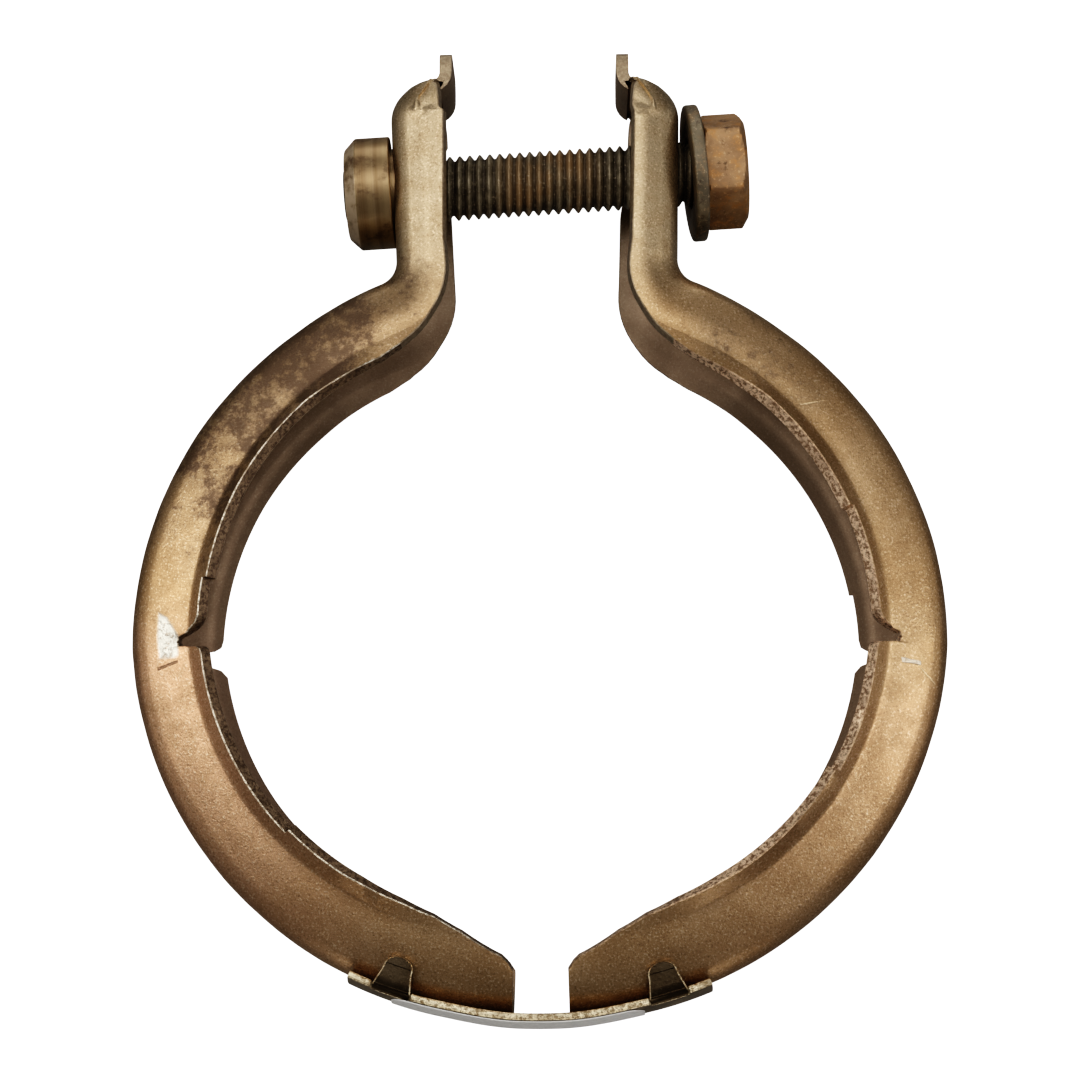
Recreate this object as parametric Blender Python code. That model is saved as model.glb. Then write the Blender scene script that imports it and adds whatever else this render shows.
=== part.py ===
"""V-band exhaust clamp, opened: two pressed half shells, a spring strip that joins them and one bolt.

The clamp lies flat on the lips of its rear walls. +Z is the axis of the pipe it goes round, +Y points from
the hinge strip to the ears, and the origin is under the middle of its outline, on the surface it lies on.
Plan sizes are in millimetres from the ring's centre until they are placed; meshes are in metres.
"""

import math

import bmesh
import bpy
from mathutils import Matrix, Vector

MM = 0.001

# Where the ring's centre stands in the part's own frame.
RING_CENTRE = Vector((0.0, -13.275, 9.31))

# The pressed channel: sheet, web, rounded shoulders, flared walls and turned-out lips.
SHEET = 1.5
WEB_FLAT = 2.9
EAR_WEB_FLAT = 4.4
SHOULDER_RADIUS = 3.6
WALL_FLARE = 14.0
LIP_ANGLE = 46.0
LIP_LENGTH = 2.2
LIP_BEND = 0.7
SHALLOWEST_WALL = 3.8
SHOULDER_STEPS = 3

# The right half shell's plan: two arcs that meet in a slight kink at the notch, then the ear.
WEB_RADIUS = 46.9
UPPER_CENTRE = Vector((2.0, -0.3))
NOTCH_ANGLE = -1.4
KINK = 2.9
UPPER_TURN = 69.95
LOWER_TURN = 84.2
EAR_CORNER_RADIUS = 3.0
EAR_LEAN = 2.3
EAR_LENGTH = 17.8
EAR_TOP_RADIUS = 4.6
EAR_TOP_TURN = 77.0
EAR_TOP_FLAT = 1.9
EAR_WALL_X = 11.3
TAB_FOLD_RADIUS = 1.1
TAB_HEIGHT = 2.8
TAB_HALF_WIDTH = 5.8
TAB_CORNER = 1.8

# How far the walls reach in from the web, along the web's outer face from the notch outwards.
UPPER_WALL = [(0.0, 6.4), (0.9, 6.5), (1.1, 7.0), (2.2, 9.0), (3.0, 9.8), (3.8, 10.0), (25.0, 9.7),
              (45.0, 9.9), (53.0, 9.9), (57.1, 9.3), (58.6, 7.6), (60.8, 6.2), (62.5, 6.2), (78.6, 6.7)]
UPPER_LIP = [(0.9, 0.0), (1.6, 1.0), (40.0, 1.0), (53.0, 0.0)]
UPPER_FLAT = [(45.0, WEB_FLAT), (61.0, EAR_WEB_FLAT)]
LOWER_WALL = [(0.0, 6.4), (0.9, 6.5), (1.0, 8.4), (1.4, 9.4), (2.4, 9.9), (25.0, 10.1), (45.0, 10.8),
              (52.0, 10.7), (57.0, 10.2), (61.5, 9.1), (66.0, 7.4), (67.4, 6.9), (68.2, 6.3), (68.9, 5.4)]
LOWER_LIP = [(0.9, 0.0), (1.3, 1.0), (42.0, 1.0), (58.0, 0.0)]

# The bolt's line, and the M8 fasteners on it. Places along it are measured from the bolt's middle plane.
BOLT_POINT = Vector((0.0, 57.57))
BOLT_RISE = 3.2
THREAD_DIAMETER = 8.0
BOLT_LENGTH = 45.0
BOLT_TIP_CHAMFER = 1.0
HEAD_UNDERSIDE = 20.95
HEAD_HEIGHT = 5.1
HEAD_ACROSS_FLATS = 13.0
HEAD_CHAMFER_RADIUS = 6.1
HEAD_CHAMFER_ANGLE = 33.0
WASHER_NEAR_FACE = 18.95
WASHER_THICKNESS = 1.6
WASHER_DIAMETER = 17.0
CLEARANCE_HOLE = 8.8
NUT_SEAT = -18.05
NUT_LENGTH = 5.7
NUT_DIAMETER = 13.9
NUT_CHAMFER = 1.4
NUT_BORE = 8.6
SPIGOT_DIAMETER = 10.8
SPIGOT_LENGTH = 1.0
SPIGOT_HOLE = 11.4
EAR_MIDDLE = 17.6
SLOT_WIDTH = 9.2
SLOT_TOP = 5.0
SLOT_BOTTOM = -7.4

# The spring strip that hinges the halves, its four folded tabs, and the paper label under it.
STRIP_SHEET = 0.65
STRIP_HALF_WIDTH = 7.6
STRIP_CROWN = 0.8
STRIP_GAP = 0.3
STRIP_BOW = 0.5
STRIP_BOW_REACH = 12.0
STRIP_ENDS = (-22.4, 19.9)
STRIP_STEPS = 28
TAB_CENTRES = (-17.5, 15.0)
CLIP_HALF_WIDTHS = (2.3, 1.7)
CLIP_HEIGHT = 4.1
CLIP_INSIDE = 7.0
LABEL_ENDS = (-17.3, 12.0)
LABEL_HALF_WIDTH = 7.2
LABEL_SHEET = 0.15
LABEL_GAP = 0.05

STEEL = (0.34, 0.24, 0.15)
ROUND_STEPS = 36


def clear_scene():
    for old in list(bpy.data.objects):
        bpy.data.objects.remove(old)


def material(name, colour, metallic, roughness):
    made = bpy.data.materials.new(name)
    made.use_nodes = True
    made.diffuse_color = (*colour, 1.0)
    shader = made.node_tree.nodes["Principled BSDF"]
    shader.inputs["Base Color"].default_value = (*colour, 1.0)
    shader.inputs["Metallic"].default_value = metallic
    shader.inputs["Roughness"].default_value = roughness
    return made


def add_object(name, mesh_data, finish=None):
    made = bpy.data.objects.new(name, mesh_data)
    bpy.context.scene.collection.objects.link(made)
    if finish:
        mesh_data.materials.append(finish)
        mesh_data.shade_smooth()
        mesh_data.set_sharp_from_angle(angle=math.radians(32))
    return made


def between(table, place):
    """Read a table of (place, value) pairs, straight between its rows and level past its ends."""
    for (low, low_value), (high, high_value) in zip(table, table[1:]):
        if place < low:
            return low_value
        if place <= high:
            return low_value + (high_value - low_value) * (place - low) / (high - low)
    return table[-1][1]


def unit(degrees):
    return Vector((math.cos(math.radians(degrees)), math.sin(math.radians(degrees))))


def placed(plan, height=0.0):
    """A point of the plan, in the part's frame and in metres."""
    return (Vector((plan[0], plan[1], height)) + RING_CENTRE) * MM


# Sections and lofts

def channel_half(depth, lip, web_flat):
    """The outer face of one half of the channel, as (depth from the web, distance from the middle plane)."""
    points = []
    last_turn = 90.0 - WALL_FLARE
    for step in range(SHOULDER_STEPS + 1):
        turn = math.radians(last_turn * step / SHOULDER_STEPS)
        inward = SHOULDER_RADIUS * (1 - math.cos(turn))
        points.append(Vector((inward, web_flat + SHOULDER_RADIUS * math.sin(turn))))
    lip_angle = WALL_FLARE + lip * (LIP_ANGLE - WALL_FLARE)
    along_wall, along_lip = unit(WALL_FLARE), unit(lip_angle)
    corner_depth = depth - SHEET * along_lip.y
    length = min(LIP_LENGTH, 0.4 * (corner_depth - points[-1].x))
    bend_depth = corner_depth - length * along_lip.x
    wall_end = points[-1] + along_wall * ((bend_depth - points[-1].x) / along_wall.x)
    reach = min(LIP_BEND, 0.45 * length)
    points += [wall_end - along_wall * reach, wall_end + along_lip * reach, wall_end + along_lip * length]
    return points


def offset_inward(points):
    """The inner face of the sheet: each corner moved in by the sheet's thickness, mitred at its bends."""
    moved = []
    for index, point in enumerate(points):
        before = (point - points[index - 1]).normalized() if index else Vector((0.0, 1.0))
        after = (points[index + 1] - point).normalized() if index + 1 < len(points) else before
        normal = Vector((before.y + after.y, -before.x - after.x)).normalized()
        moved.append(point + normal * (SHEET / normal.dot(Vector((before.y, -before.x)))))
    return moved


def plate_half(half_width, count):
    return [Vector((0.0, half_width * (index + 1) / count)) for index in range(count)]


def ring_section(station):
    """One closed ring of the loft: outer face from back to front, then inner face from front to back."""
    outer = channel_half(max(station["depth"], SHALLOWEST_WALL), station["lip"], station["web_flat"])
    inner = offset_inward(outer)
    flat = plate_half(station["half_width"], len(outer))
    flatness = station["flatness"]
    outer = [point.lerp(level, flatness) for point, level in zip(outer, flat)]
    inner = [point.lerp(level + Vector((SHEET, 0.0)), flatness) for point, level in zip(inner, flat)]
    back = [Vector((point.x, -point.y)) for point in reversed(outer)]
    back_inner = [Vector((point.x, -point.y)) for point in inner]
    return back + outer + list(reversed(inner)) + back_inner


def loft(rings):
    """A closed skin through rings of equal count, capped between each end's outer and inner faces."""
    mesh = bmesh.new()
    rows = [[mesh.verts.new(point) for point in ring] for ring in rings]
    count = len(rows[0])
    for row, following in zip(rows, rows[1:]):
        for index in range(count):
            beside = (index + 1) % count
            mesh.faces.new((row[index], row[beside], following[beside], following[index]))
    for row in (rows[0], rows[-1]):
        for index in range(count // 2 - 1):
            opposite = count - 1 - index
            mesh.faces.new((row[index], row[index + 1], row[opposite - 1], row[opposite]))
    bmesh.ops.recalc_face_normals(mesh, faces=mesh.faces)
    made = bpy.data.meshes.new("loft")
    mesh.to_mesh(made)
    mesh.free()
    return made


# The plan of a half shell

def arc_stations(start, heading, radius, turn, steps):
    """Points and headings along an arc, the start left out. A positive turn goes left."""
    side = 90.0 if turn > 0 else -90.0
    centre = start + unit(heading + side) * radius
    return [(centre - unit(heading + turn * step / steps + side) * radius, heading + turn * step / steps)
            for step in range(1, steps + 1)]


def line_stations(start, heading, length, steps):
    return [(start + unit(heading) * (length * step / steps), heading) for step in range(1, steps + 1)]


def wall_station(point, inward, depth, lip=0.0, web_flat=EAR_WEB_FLAT, toward=None, flatness=0.0,
                 half_width=TAB_HALF_WIDTH):
    """One place along the shell. toward is where the walls' edge lies, when it isn't straight inwards."""
    return {"point": point, "inward": inward, "depth": depth, "lip": lip, "web_flat": web_flat,
            "flatness": flatness, "half_width": half_width,
            "edge": (toward - point).normalized() if toward else inward}


def upper_stations():
    """From the notch up the upper arc, round the corner, up the ear, over its top and up the end tab."""
    close = [0.0, 0.9, 1.1, 1.6, 2.2, 3.0, 3.8]
    far = [3.8 + (math.radians(UPPER_TURN) * WEB_RADIUS - 3.8) * step / 20 for step in range(1, 21)]
    stations = []
    for travelled in close + far:
        angle = NOTCH_ANGLE + math.degrees(travelled / WEB_RADIUS)
        outward = unit(angle) if travelled else unit(angle - KINK / 2)
        stations.append(wall_station(UPPER_CENTRE + unit(angle) * WEB_RADIUS, -outward,
                                     between(UPPER_WALL, travelled), between(UPPER_LIP, travelled),
                                     between(UPPER_FLAT, travelled)))

    travelled = far[-1]
    heading = 90.0 + NOTCH_ANGLE + UPPER_TURN
    corner = arc_stations(stations[-1]["point"], heading, EAR_CORNER_RADIUS, 90.0 - EAR_LEAN - heading, 8)
    rise = line_stations(corner[-1][0], corner[-1][1], EAR_LENGTH, 6)
    for point, direction in corner + rise:
        travelled += (point - stations[-1]["point"]).length
        stations.append(wall_station(point, unit(direction + 90.0), between(UPPER_WALL, travelled),
                                     web_flat=between(UPPER_FLAT, travelled)))

    over = arc_stations(rise[-1][0], rise[-1][1], EAR_TOP_RADIUS, EAR_TOP_TURN, 6)
    edge_low = stations[-1]["point"].y
    for step, (point, direction) in enumerate(over, start=1):
        edge = Vector((EAR_WALL_X, edge_low + 0.55 * step))
        stations.append(wall_station(point, unit(direction + 90.0), (edge - point).length, toward=edge,
                                     flatness=0.11 * max(step - 2, 0)))
    flat = line_stations(over[-1][0], over[-1][1], EAR_TOP_FLAT, 1)
    fold = arc_stations(flat[-1][0], flat[-1][1], TAB_FOLD_RADIUS, 90.0 - flat[-1][1], 4)
    tab = line_stations(fold[-1][0], 90.0, TAB_HEIGHT - TAB_CORNER, 1)
    for point, direction in flat + fold + tab:
        stations.append(wall_station(point, unit(direction + 90.0), 0.0, flatness=1.0))
    for step in range(1, 5):
        turn = math.radians(90.0 * step / 4 - 4.0)
        point = tab[-1][0] + Vector((0.0, TAB_CORNER * math.sin(turn)))
        stations.append(wall_station(point, unit(180.0), 0.0, flatness=1.0,
                                     half_width=TAB_HALF_WIDTH - TAB_CORNER * (1 - math.cos(turn))))
    return stations


def lower_stations():
    """From beside the notch down the lower arc to the shell's end above the hinge strip."""
    notch = UPPER_CENTRE + unit(NOTCH_ANGLE) * WEB_RADIUS
    centre = notch - unit(NOTCH_ANGLE - KINK) * WEB_RADIUS
    whole = math.radians(LOWER_TURN) * WEB_RADIUS
    near = [0.9, 1.0, 1.4, 2.4]
    middle = [2.4 + (66.0 - 2.4) * step / 21 for step in range(1, 22)]
    stations = []
    for travelled in near + middle + [67.4, 68.2, whole]:
        angle = NOTCH_ANGLE - KINK - math.degrees(travelled / WEB_RADIUS)
        stations.append(wall_station(centre + unit(angle) * WEB_RADIUS, -unit(angle),
                                     between(LOWER_WALL, travelled), between(LOWER_LIP, travelled), WEB_FLAT))
    return stations


def station_ring(station, side):
    """The section's points at one station. Deep points lean from the web's normal towards the walls' edge."""
    ring = []
    depth = max(station["depth"], SHEET + 0.1)
    for inward, height in ring_section(station):
        share = min(max((inward - SHEET) / (depth - SHEET), 0.0), 1.0)
        way = station["inward"].lerp(station["edge"], share)
        plan = station["point"] + way * inward
        ring.append(placed((plan.x * side, plan.y), height))
    return ring


def half_shell(name, side, finish):
    stations = list(reversed(lower_stations())) + upper_stations()
    return add_object(name, loft([station_ring(station, side) for station in stations]), finish)


# The bolt's line

def on_bolt(along):
    """The place of a feature on the bolt's line, with local +Z pointing from the nut to the head."""
    lean = Matrix.Rotation(math.radians(BOLT_RISE), 4, "Z") @ Matrix.Rotation(math.radians(90.0), 4, "Y")
    return Matrix.Translation(placed(BOLT_POINT + unit(BOLT_RISE) * along)) @ lean


def turned(profile, steps=ROUND_STEPS, closed=True):
    """A solid turned about local Z from (radius, height) pairs; a closed profile gives a ring."""
    mesh = bmesh.new()
    rows = []
    for radius, height in profile:
        if radius == 0.0:
            rows.append([mesh.verts.new((0.0, 0.0, height * MM))])
            continue
        rows.append([mesh.verts.new((radius * MM * math.cos(2 * math.pi * step / steps),
                                     radius * MM * math.sin(2 * math.pi * step / steps), height * MM))
                     for step in range(steps)])
    pairs = list(zip(rows, rows[1:] + rows[:1])) if closed else list(zip(rows, rows[1:]))
    for row, following in pairs:
        for step in range(steps):
            beside = (step + 1) % steps
            corners = [row[step % len(row)], row[beside % len(row)],
                       following[beside % len(following)], following[step % len(following)]]
            mesh.faces.new(list(dict.fromkeys(corners)))
    bmesh.ops.recalc_face_normals(mesh, faces=mesh.faces)
    made = bpy.data.meshes.new("turned")
    mesh.to_mesh(made)
    mesh.free()
    return made


def prism(outline, low, high):
    """A straight solid over an outline of (x, y) pairs, from one height to another, in millimetres."""
    mesh = bmesh.new()
    bottom = [mesh.verts.new((x * MM, y * MM, low * MM)) for x, y in outline]
    top = [mesh.verts.new((x * MM, y * MM, high * MM)) for x, y in outline]
    mesh.faces.new(bottom)
    mesh.faces.new(top)
    for index in range(len(outline)):
        beside = (index + 1) % len(outline)
        mesh.faces.new((bottom[index], bottom[beside], top[beside], top[index]))
    bmesh.ops.recalc_face_normals(mesh, faces=mesh.faces)
    made = bpy.data.meshes.new("prism")
    mesh.to_mesh(made)
    mesh.free()
    return made


def helper(name, mesh_data, place=None):
    """A cutter or an added shape that only a Boolean reads."""
    made = add_object(name, mesh_data)
    made.hide_render = True
    made.display_type = "WIRE"
    if place:
        made.matrix_world = place
    return made


def combine(target, tool, operation):
    step = target.modifiers.new(tool.name, "BOOLEAN")
    step.operation = operation
    step.solver = "EXACT"
    step.object = tool


def bolt(finish):
    radius = THREAD_DIAMETER / 2
    corner = HEAD_ACROSS_FLATS / math.sqrt(3)
    beyond = corner + 0.3
    drop = (beyond - HEAD_CHAMFER_RADIUS) * math.tan(math.radians(HEAD_CHAMFER_ANGLE))
    head = [(0.0, 0.0), (beyond, 0.0), (beyond, HEAD_HEIGHT - drop), (HEAD_CHAMFER_RADIUS, HEAD_HEIGHT),
            (0.0, HEAD_HEIGHT)]
    hexagon = [corner * unit(60.0 * side + 30.0) for side in range(6)]
    made = add_object("bolt", prism(hexagon, 0.0, HEAD_HEIGHT), finish)
    combine(made, helper("head_chamfer", turned(head, closed=False), on_bolt(HEAD_UNDERSIDE)), "INTERSECT")
    shank = [(0.0, 1.0), (radius, 1.0), (radius, BOLT_TIP_CHAMFER - BOLT_LENGTH),
             (radius - BOLT_TIP_CHAMFER, -BOLT_LENGTH), (0.0, -BOLT_LENGTH)]
    combine(made, helper("shank", turned(shank, closed=False), on_bolt(HEAD_UNDERSIDE)), "UNION")
    made.matrix_world = on_bolt(HEAD_UNDERSIDE)
    return made


def washer(finish):
    inner, outer, edge = CLEARANCE_HOLE / 2, WASHER_DIAMETER / 2, 0.2
    profile = [(inner, 0.0), (outer - edge, 0.0), (outer, edge), (outer, WASHER_THICKNESS - edge),
               (outer - edge, WASHER_THICKNESS), (inner, WASHER_THICKNESS)]
    made = add_object("washer", turned(profile), finish)
    made.matrix_world = on_bolt(WASHER_NEAR_FACE)
    return made


def barrel_nut(finish):
    bore, outer, spigot = NUT_BORE / 2, NUT_DIAMETER / 2, SPIGOT_DIAMETER / 2
    profile = [(bore + 0.5, -NUT_LENGTH), (outer - NUT_CHAMFER, -NUT_LENGTH),
               (outer, NUT_CHAMFER - NUT_LENGTH), (outer, 0.0), (spigot, 0.0),
               (spigot, SPIGOT_LENGTH), (bore, SPIGOT_LENGTH), (bore, 0.5 - NUT_LENGTH)]
    made = add_object("barrel_nut", turned(profile), finish)
    made.matrix_world = on_bolt(NUT_SEAT)
    return made


def ear_holes(left, right):
    """The nut's spigot hole in the left ear and the bolt's slot in the right ear, through the web only."""
    hole = turned([(0.0, -4.0), (SPIGOT_HOLE / 2, -4.0), (SPIGOT_HOLE / 2, 4.0), (0.0, 4.0)], closed=False)
    combine(left, helper("spigot_hole", hole, on_bolt(NUT_SEAT)), "DIFFERENCE")
    half = SLOT_WIDTH / 2
    outline = [(half * math.cos(turn), SLOT_TOP - half + half * math.sin(turn))
               for turn in (math.pi * step / 10 for step in range(11))]
    outline += [(-x, SLOT_TOP + SLOT_BOTTOM - y) for x, y in outline]
    combine(right, helper("bolt_slot", prism(outline, -3.0, 3.0), on_bolt(EAR_MIDDLE)), "DIFFERENCE")


# The hinge strip and its label

def strip_line(x):
    """How low the strip's upper face hangs at x: round both webs, and bowed down across their gap."""
    lower_centre = UPPER_CENTRE + unit(NOTCH_ANGLE) * WEB_RADIUS - unit(NOTCH_ANGLE - KINK) * WEB_RADIUS
    beside = max(abs(x) - lower_centre.x, 0.0)
    radius = WEB_RADIUS + STRIP_GAP
    bow = STRIP_BOW * max(1.0 - (x / STRIP_BOW_REACH) ** 2, 0.0) ** 2
    return lower_centre.y - math.sqrt(radius ** 2 - beside ** 2) - bow


def strip_normal(x):
    """The way out of the strip, square to its line."""
    slope = (strip_line(x + 0.01) - strip_line(x - 0.01)) / 0.02
    return Vector((slope, -1.0)).normalized()


def band(ends, half_width, near, far, steps, rounding=0.0):
    """A thin sheet along the strip's line, between two distances below it, crowned across its width."""
    rings = []
    for step in range(steps + 1):
        x = ends[0] + (ends[1] - ends[0]) * step / steps
        from_end = min(x - ends[0], ends[1] - x)
        reach = half_width
        if rounding:
            shy = max(rounding - from_end, 0.0)
            reach += math.sqrt(max(rounding ** 2 - shy ** 2, 0.04)) - rounding
        heights = [reach * (-1.0 + across / 3) for across in range(7)]
        ring = []
        for distance, across in [(near, heights), (far, list(reversed(heights)))]:
            for height in across:
                lift = STRIP_CROWN * (height / STRIP_HALF_WIDTH) ** 2
                plan = Vector((x, strip_line(x))) + strip_normal(x) * (distance - lift)
                ring.append(placed(plan, height))
        rings.append(ring)
    return loft(rings)


def clip_outline(centre):
    """A clip's shape seen along +Z: wide at its root, narrower and rounded at its tip."""
    wide, narrow = CLIP_HALF_WIDTHS
    out = strip_normal(centre)
    along = Vector((-out.y, out.x))
    root = Vector((centre, strip_line(centre))) + out * (STRIP_SHEET * 0.4 - STRIP_CROWN)
    shape = [(-wide, 0.0), (wide, 0.0)]
    for turn in (math.radians(degrees) for degrees in (0, 25, 50, 75)):
        shape.append((narrow * math.cos(turn) ** 0.6, CLIP_HEIGHT - 1.1 + 1.1 * math.sin(turn)))
    shape += [(-x, y) for x, y in reversed(shape[2:])]
    return [root + along * x - out * y for x, y in shape]


def clip(name, centre, facing):
    """One folded tab: a plate standing against the outside of a shell's wall."""
    outline = [(point.x + RING_CENTRE.x, point.y + RING_CENTRE.y) for point in clip_outline(centre)]
    low, high = sorted((facing * CLIP_INSIDE, facing * (CLIP_INSIDE + STRIP_SHEET)))
    return helper(name, prism(outline, low + RING_CENTRE.z, high + RING_CENTRE.z))


def hinge_strip(finish):
    made = add_object("hinge_strip", band(STRIP_ENDS, STRIP_HALF_WIDTH, 0.0, STRIP_SHEET, STRIP_STEPS), finish)
    for number, centre in enumerate(TAB_CENTRES):
        for facing in (1, -1):
            combine(made, clip(f"clip_{number}_{facing}", centre, facing), "UNION")
    return made


def label(finish):
    near = STRIP_SHEET + LABEL_GAP
    sheet = band(LABEL_ENDS, LABEL_HALF_WIDTH, near, near + LABEL_SHEET, 20, rounding=2.5)
    return add_object("label", sheet, finish)


def main():
    clear_scene()
    left = half_shell("shell_left", -1, material("shell_steel_left", STEEL, 0.9, 0.4))
    right = half_shell("shell_right", 1, material("shell_steel_right", STEEL, 0.9, 0.4))
    ear_holes(left, right)
    bolt(material("bolt_steel", (0.36, 0.21, 0.11), 0.8, 0.5))
    washer(material("washer_steel", (0.22, 0.19, 0.14), 0.8, 0.55))
    barrel_nut(material("nut_steel", (0.33, 0.22, 0.12), 0.9, 0.4))
    hinge_strip(material("spring_steel", (0.30, 0.23, 0.15), 0.9, 0.4))
    label(material("label_paper", (0.85, 0.86, 0.86), 0.0, 0.6))


main()
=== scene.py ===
"""Looks for the opened V-band clamp: fine pressed shells, a threaded bolt, nut, washer, strip and label.

The clamp lies on a pale floor and is seen from almost straight above. Plan sizes are in millimetres from the
ring's centre, as in the part's design, and are turned into the frame's metres where they are placed.
"""

import math

import bmesh
import bpy
from mathutils import Matrix, Vector, noise

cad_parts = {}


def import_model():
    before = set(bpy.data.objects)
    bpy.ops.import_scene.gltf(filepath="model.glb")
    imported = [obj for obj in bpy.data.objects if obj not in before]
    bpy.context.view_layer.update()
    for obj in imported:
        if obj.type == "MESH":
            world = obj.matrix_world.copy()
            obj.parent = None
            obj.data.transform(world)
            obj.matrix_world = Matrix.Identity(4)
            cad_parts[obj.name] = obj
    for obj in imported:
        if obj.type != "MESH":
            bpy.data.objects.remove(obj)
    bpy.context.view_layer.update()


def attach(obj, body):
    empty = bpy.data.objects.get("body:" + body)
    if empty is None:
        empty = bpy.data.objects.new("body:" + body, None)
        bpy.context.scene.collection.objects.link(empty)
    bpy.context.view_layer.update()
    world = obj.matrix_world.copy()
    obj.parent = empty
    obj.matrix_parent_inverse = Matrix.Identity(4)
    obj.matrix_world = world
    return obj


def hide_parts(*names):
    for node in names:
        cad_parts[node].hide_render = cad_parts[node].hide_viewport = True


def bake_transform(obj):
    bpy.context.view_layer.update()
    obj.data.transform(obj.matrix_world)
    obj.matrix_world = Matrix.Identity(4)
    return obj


MM = 0.001
RING_CENTRE = Vector((0.0, -13.275, 9.31))

# The pressed channel
SHEET = 1.5
WEB_FLAT = 2.9
EAR_WEB_FLAT = 4.4
SHOULDER_RADIUS = 3.6
WALL_FLARE = 14.0
LIP_ANGLE = 46.0
LIP_LENGTH = 2.2
LIP_BEND_RADIUS = 1.0
EDGE_ROUNDING = 0.13
WALL_CROWN = [(45.0, 0.12), (58.0, 0.32)]
SQUEEZE = 0.03
LONGEST_WALL = 14.0
FLAT_STEPS = 3
SHOULDER_STEPS = 9
WALL_STEPS = 5
BEND_STEPS = 4
SURFACE_WAVE = 0.05
OUTER, INNER, CUT_EDGE = 0, 1, 2

# The shell's plan
WEB_RADIUS = 46.9
UPPER_CENTRE = Vector((2.0, -0.3))
NOTCH_ANGLE = -1.4
KINK = 2.9
UPPER_TURN = 69.95
LOWER_TURN = 84.2
EAR_CORNER_RADIUS = 3.0
EAR_LEAN = {"left": 2.3, "right": 1.2}
EAR_LENGTH = 17.8
EAR_TOP_RADIUS = 4.6
EAR_TOP_TURN = 77.0
EAR_TOP_FLAT = 1.9
EAR_WALL_X = 11.5
EDGE_CLIMB = 4.6
EDGE_SHIFT = 0.6
EDGE_STEPS = 9
EDGE_UNDER_FLAT = 2.0
SHORTEST_WALL = 4.0
TAB_WALL = 4.6
OVER_STEPS = 12
FLATTENING = (9.0, 14.0)
STRAIGHTENING = (6.0, 10.0)
TAB_FOLD_RADIUS = 1.1
TAB_HEIGHT = 2.8
TAB_HALF_WIDTH = 5.8
TAB_CORNER = 1.8

# Worn and pressed marks on the near faces. The flattened facet at the left notch and the strip beside the
# right notch are bare metal and also a painted highlight; the SHADE strip under the left facet is painted
# shade along its crease.
FAR_INSIDE = 9.0
RAGGEDNESS = 0.5
BARE_AND_HIGHLIGHT = (0.70, 0.665, 0.575)
GOLD = (0.88, 0.70, 0.46)
SHADE = (0.17, 0.11, 0.07)
MARKS = {
    "left": [
        # bare metal and a painted highlight: the flattened facet at the left notch
        ([(-45.4, 2.8), (-44.0, 2.0), (-42.5, -0.5), (-42.4, -2.8), (-42.9, -3.2), (-45.3, -3.3),
          (-45.6, -0.6)], BARE_AND_HIGHLIGHT, 1.0, 0.5),
        # painted shade: a dark strip along the crease under the facet
        ([(-45.3, -4.05), (-42.7, -3.25), (-42.7, -3.65), (-45.3, -4.6)], SHADE, 0.8, 0.12),
    ],
    "right": [
        # bare metal and a painted highlight: the lit twin of the left side's shaded strip
        ([(42.7, -3.5), (45.2, -3.9), (45.2, -4.55), (42.8, -4.25)], BARE_AND_HIGHLIGHT, 0.65, 0.12),
        ([(45.2, -4.7), (47.0, -6.6), (46.8, -6.8), (45.0, -4.9)], GOLD, 0.6, 0.12),
        ([(31.55, 26.98), (35.04, 27.71), (35.04, 27.87), (31.55, 27.14)], GOLD, 0.8, 0.12),
    ],
}

# How far each wall reaches in from the web, by the way travelled from the notch, with small trim steps
UPPER_NOTCH = [(0.0, 6.4), (0.9, 6.5), (1.1, 7.0), (2.2, 8.7), (2.9, 9.3), (3.8, 9.6)]
UPPER_DEPTHS = {
    ("left", "front"): UPPER_NOTCH + [
        (9.4, 9.5), (9.55, 10.05), (25.0, 9.8), (53.0, 9.9), (57.1, 9.3), (58.6, 7.7), (60.8, 6.5),
        (62.5, 6.4), (78.6, 7.0)],
    ("left", "rear"): [
        (0.6, 6.4), (0.8, 7.4), (1.2, 8.7), (1.9, 9.4), (3.1, 9.6), (25.0, 9.6), (53.0, 9.9), (57.1, 9.3),
        (58.6, 7.8), (60.8, 6.7), (70.0, 6.6), (75.0, 6.1)],
    ("right", "front"): UPPER_NOTCH + [
        (19.7, 9.5), (19.85, 10.0), (45.0, 9.9), (53.0, 9.8), (57.1, 9.1), (58.6, 7.4), (60.8, 6.2),
        (62.5, 6.0), (78.6, 5.9)],
    ("right", "rear"): [
        (-0.1, 6.4), (0.1, 7.4), (0.5, 8.7), (1.2, 9.4), (2.4, 9.6), (9.5, 9.6), (9.65, 10.0), (53.0, 9.9),
        (57.1, 9.4), (58.6, 8.2), (60.8, 7.1), (70.0, 7.0), (75.0, 6.3)],
}
UPPER_REACH = [(0.0, 10.0)]
UPPER_LIP = [(40.0, 1.0), (53.0, 0.0)]
UPPER_FLAT = [(45.0, WEB_FLAT), (61.0, EAR_WEB_FLAT)]
LOWER_START = [(0.8, 6.5), (0.95, 8.6), (1.25, 9.5), (1.8, 9.9), (2.6, 10.0)]
LOWER_REAR_START = [(1.4, 6.5), (1.7, 8.0), (2.3, 9.3), (3.4, 9.9), (25.0, 10.1)]
LOWER_END = [(52.0, 10.7), (57.0, 10.2), (61.5, 9.1), (66.0, 7.4), (67.4, 6.9), (68.2, 6.3), (68.9, 5.4)]
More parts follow.
